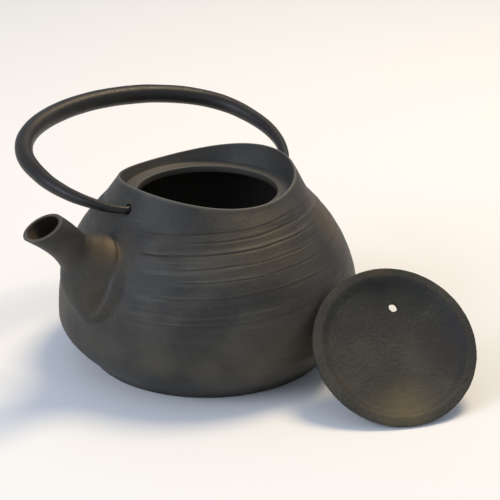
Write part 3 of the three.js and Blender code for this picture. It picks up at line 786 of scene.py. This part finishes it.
def lidDisc(material):
    d, h = lid, steamHole
    disc = revolve("lidDisc", lidProfile(), np.arange(d["sides"]) * 2 * math.pi / d["sides"])
    turn = math.radians(h["turn"])
    place = (h["offset"] * math.cos(turn), h["offset"] * math.sin(turn))
    height = np.linspace(h["low"], h["high"], h["rings"])
    radius = h["radius"] + h["widening"] * smoothstep(np.abs(height - h["middle"]), *h["widenFrom"])
    hole = straightBar("steam", place + (height[0],), place + (height[-1],), radius, (0, 1, 0), h["sides"])
    cutOrJoin(disc, hole, "DIFFERENCE")
    runTree(disc, grainTree(), {
        "Grain depth": d["grainDepth"], "Grain size": d["grainSize"], "Material": material})
    disc.data.transform(lidPlace())
    return disc


# Materials
def linear(hexText):
    values = [int(hexText[k:k + 2], 16) / 255 for k in (1, 3, 5)]
    return tuple(v / 12.92 if v <= 0.04045 else ((v + 0.055) / 1.055) ** 2.4 for v in values) + (1,)


# What all the iron shares: cloud size and relief in millimetres, roughness, and the colours of painted
# shade in the grooves and throat, of painted highlight on the ridges, of rubbed edges, and of the inside's
# bare iron painted lighter as bounce light
iron = {
    "cloudSize": 22, "mottleSpread": 0.16, "roughSpread": 0.08, "gritFrom": (0.3, 0.7), "gritDepth": 0.3,
    # painted shade in the grooves and painted highlight on the ridges of the brushed rings
    "grooveShade": "#16140f", "grooveShadeFrom": (-0.08, -0.36), "ridgeHighlight": "#5b5749", "ridgeHighlightFrom": (0.01, 0.14),
    "reliefShadingShare": 0.6, "ridgeShine": 0.25, "rubbed": "#6a675e", "rubbedShare": 0.6,
    # the inside is bare iron painted lighter as bounce light; the throat colour is painted shade
    "inside": "#57534b", "throatShade": "#3d352a",
}
# Soft patches of painted light and shade, and of rust on the lid: place and reach in millimetres, colour,
# strength
bodyFinish = {
    "dark": "#2b2a26", "light": "#434038", "roughness": 0.56, "metallic": 0.25,
    "grain": 0.75, "grainSize": 0.9, "gritShare": 0.6,
    # a painted warm reflection on the right of the shoulder, painted golden highlights on the bulb's top, a
    # painted highlight on the shoulder, a brown patch beside the spout's root, and a warm brown patch on
    # the low belly
    "lightShadeAndRustPatches": [
        ((-45, 50, 80), 24, "#5f4a2c", 0.8), ((76, 10, 82), 15, "#5e4f36", 0.6),
        ((70, 13, 83), 10, "#6d5a40", 0.55), ((10, 66, 84), 40, "#4a4230", 0.7),
        ((84, 26, 56), 9, "#6b4a2c", 0.5), ((12, 80, 22), 40, "#4c402c", 0.5),
    ],
}
bailFinish = {
    "dark": "#1c1b18", "light": "#292722", "roughness": 0.44, "metallic": 0.35,
    "grain": 0.2, "grainSize": 1.6, "gritShare": 0.35,
    # a painted highlight on the bar's left turn
    "lightShadeAndRustPatches": [((60, -80, 120), 60, "#3a362b", 0.4)],
}
lidFinish = {
    "dark": "#24241f", "light": "#3b392f", "roughness": 0.66, "metallic": 0.15,
    "grain": 1, "grainSize": 1.1, "gritShare": 1.2,
    # golden-brown rusted iron on the dish's low arc, a painted shadow on the dish's upper wall, painted
    # shade on its right, and a brown patch at the top of the rim
    "lightShadeAndRustPatches": [
        ((-18, 136, 9), 23, "#574e35", 0.75), ((-43, 92, 56), 30, "#15150f", 0.8),
        ((-59, 130, 32), 27, "#1b191b", 0.7), ((-45, 87, 63), 12, "#4a3d2c", 0.5),
    ],
}


def castIron(name, finish):
    # sand cast iron under thin lacquer: matte, mottled brown-black, whose fine grit scatters the sheen;
    # grooves get painted shade, ridges a greyer painted highlight, rubbed edges are greyer from wear, the
    # inside is bare grey-brown iron painted lighter as bounce light, and the throat gets painted shade
    f = finish
    material = bpy.data.materials.new(name)
    material.use_nodes = True
    tree = material.node_tree
    tree.nodes.clear()
    place = node(tree, "ShaderNodeTexCoord").outputs["Object"]
    clouds = node(tree, "ShaderNodeTexNoise", {
        "Vector": place, "Scale": 1 / (iron["cloudSize"] * mm), "Detail": 6}).outputs["Fac"]
    grit = node(tree, "ShaderNodeTexNoise", {
        "Vector": place, "Scale": 1 / (f["grainSize"] * mm), "Detail": 4}).outputs["Fac"]
    mottle = node(tree, "ShaderNodeMath", {
        0: grit, 1: f["gritShare"], 2: clouds}, operation="MULTIPLY_ADD").outputs[0]
    middle = 0.5 + f["gritShare"] / 2
    share = node(tree, "ShaderNodeMapRange", {
        0: mottle, 1: middle - iron["mottleSpread"], 2: middle + iron["mottleSpread"]}).outputs[0]
    tone = node(tree, "ShaderNodeMix", {
        0: share, 6: linear(f["dark"]), 7: linear(f["light"])}, data_type="RGBA").outputs[2]
    layers = []
    # patches of painted light and shade, and of rust on the lid, each broken up by the clouds
    for centre, reach, colour, strength in f["lightShadeAndRustPatches"]:
        away = node(tree, "ShaderNodeVectorMath", {
            0: place, 1: tuple(v * mm for v in centre)}, operation="DISTANCE").outputs["Value"]
        patch = node(tree, "ShaderNodeMapRange", {
            0: away, 1: reach * mm, 2: 0, 4: strength}, interpolation_type="SMOOTHSTEP").outputs[0]
        broken = node(tree, "ShaderNodeMath", {0: patch, 1: clouds}, operation="MULTIPLY").outputs[0]
        doubled = node(tree, "ShaderNodeMath", {0: broken, 1: 2}, operation="MULTIPLY", use_clamp=True)
        layers.append((doubled.outputs[0], colour))
    relief, worn, inside, throatShade = (node(tree, "ShaderNodeAttribute", attribute_name=mark).outputs["Fac"]
                                    for mark in ("relief", "worn", "inside", "throatShade"))
    # painted shade in the grooves and painted highlight on the ridges, read from the relief
    grooveShade, ridgeHighlight = (node(tree, "ShaderNodeMapRange", {
        0: relief, 1: first, 2: last, 4: iron["reliefShadingShare"]}).outputs[0]
        for first, last in (iron["grooveShadeFrom"], iron["ridgeHighlightFrom"]))
    rubbed = node(tree, "ShaderNodeMath", {
        0: worn, 1: iron["rubbedShare"]}, operation="MULTIPLY").outputs[0]
    layers += [(grooveShade, iron["grooveShade"]), (ridgeHighlight, iron["ridgeHighlight"]), (rubbed, iron["rubbed"])]
    # the inside painted lighter as bounce light, and painted shade in the throat
    layers += [(inside, iron["inside"]), (throatShade, iron["throatShade"])]
    for share, colour in layers:
        tone = node(tree, "ShaderNodeMix", {
            0: share, 6: tone, 7: linear(colour)}, data_type="RGBA").outputs[2]
    low, high = f["roughness"] - iron["roughSpread"], f["roughness"] + iron["roughSpread"]
    rough = node(tree, "ShaderNodeMapRange", {
        0: grit, 1: iron["gritFrom"][0], 2: iron["gritFrom"][1], 3: low, 4: high}).outputs[0]
    rough = node(tree, "ShaderNodeMath", {
        0: ridgeHighlight, 1: -iron["ridgeShine"], 2: rough}, operation="MULTIPLY_ADD").outputs[0]
    bump = node(tree, "ShaderNodeBump", {
        "Height": grit, "Strength": f["grain"], "Distance": iron["gritDepth"] * mm}).outputs[0]
    shader = node(tree, "ShaderNodeBsdfPrincipled", {
        "Base Color": tone, "Roughness": rough, "Normal": bump, "Metallic": f["metallic"]}).outputs[0]
    node(tree, "ShaderNodeOutputMaterial", {"Surface": shader})
    return material


# The photograph's camera, with its place in millimetres and its clip distance in metres
camera = {
    "place": (460.2, 570.7, 364.2), "ahead": (-0.6013, -0.6991, -0.3870), "up": (-0.2525, -0.2932, 0.9221),
    "lens": 103.22, "sensor": 36, "clipEnd": 20,
}
# Floor, sky and soft lights, in metres
studio = {
    "floor": "#f4f4ef", "floorRoughness": 0.7, "floorReach": 3, "world": "#ccd6ea", "worldStrength": 0.7,
    "window": {"place": (1.3, -0.15, 0.8), "size": 0.9, "power": 10, "colour": "#dbe6ff"},
    "sun": {"place": (-0.75, -0.02, 1.6), "size": 0.7, "power": 20, "colour": "#ffe6bd"},
    "lightsAim": (0, 0, 0.05),
}


def makeCamera():
    data = bpy.data.cameras.new("camera")
    data.lens = camera["lens"]
    data.sensor_width = camera["sensor"]
    data.clip_end = camera["clipEnd"]
    made = bpy.data.objects.new("camera", data)
    bpy.context.scene.collection.objects.link(made)
    back = -Vector(camera["ahead"]).normalized()
    right = Vector(camera["up"]).cross(back).normalized()
    turn = Matrix((right, back.cross(right), back)).transposed().to_4x4()
    made.matrix_world = Matrix.Translation(Vector(camera["place"]) * mm) @ turn
    bpy.context.scene.camera = made


def softLight(name, look):
    data = bpy.data.lights.new(name, "AREA")
    data.shape = "DISK"
    data.size = look["size"]
    data.energy = look["power"]
    data.color = linear(look["colour"])[:3]
    made = bpy.data.objects.new(name, data)
    bpy.context.scene.collection.objects.link(made)
    made.location = look["place"]
    aim = Vector(studio["lightsAim"]) - Vector(look["place"])
    made.rotation_euler = aim.to_track_quat("-Z", "Y").to_euler()


def makeStage():
    far = studio["floorReach"] / mm
    corners = [(-far, -far, 0), (far, -far, 0), (far, far, 0), (-far, far, 0)]
    floor = meshObject("floor", corners, [(0, 1, 2, 3)])
    paper = bpy.data.materials.new("pale paper")
    paper.use_nodes = True
    shader = paper.node_tree.nodes["Principled BSDF"]
    shader.inputs["Base Color"].default_value = linear(studio["floor"])
    shader.inputs["Roughness"].default_value = studio["floorRoughness"]
    floor.data.materials.append(paper)
    world = bpy.data.worlds.new("studio")
    world.use_nodes = True
    sky = world.node_tree.nodes["Background"]
    sky.inputs["Color"].default_value = linear(studio["world"])
    sky.inputs["Strength"].default_value = studio["worldStrength"]
    bpy.context.scene.world = world
    bpy.context.scene.view_settings.view_transform = "Standard"


makeCamera()
makeStage()
for name in ("window", "sun"):
    softLight(name, studio[name])
print("stage, camera and light done")

# Each piece with the node it replaces, its body, its slot, and its material's name and finish
pieces = [
    (kettleSkin, "kettle_body", "kettle", "kettle_iron",
     "sand cast iron, brushed and lacquered", bodyFinish),
    (bailBar, "bail_handle", "bail", "bail_iron", "cast iron bar, rubbed smooth", bailFinish),
    (lidDisc, "lid", "lid", "lid_iron", "sand cast iron, left grainy", lidFinish),
]
for make, replaced, body, slotName, materialName, finish in pieces:
    piece = make(castIron(materialName, finish))
    piece.data.shade_smooth()
    piece.data.set_sharp_from_angle(angle=math.radians(sharpAngle))
    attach(piece, body)
    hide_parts(replaced)
    piece.data.calc_loop_triangles()
    print(piece.name, "done,", len(piece.data.loop_triangles), "triangles")
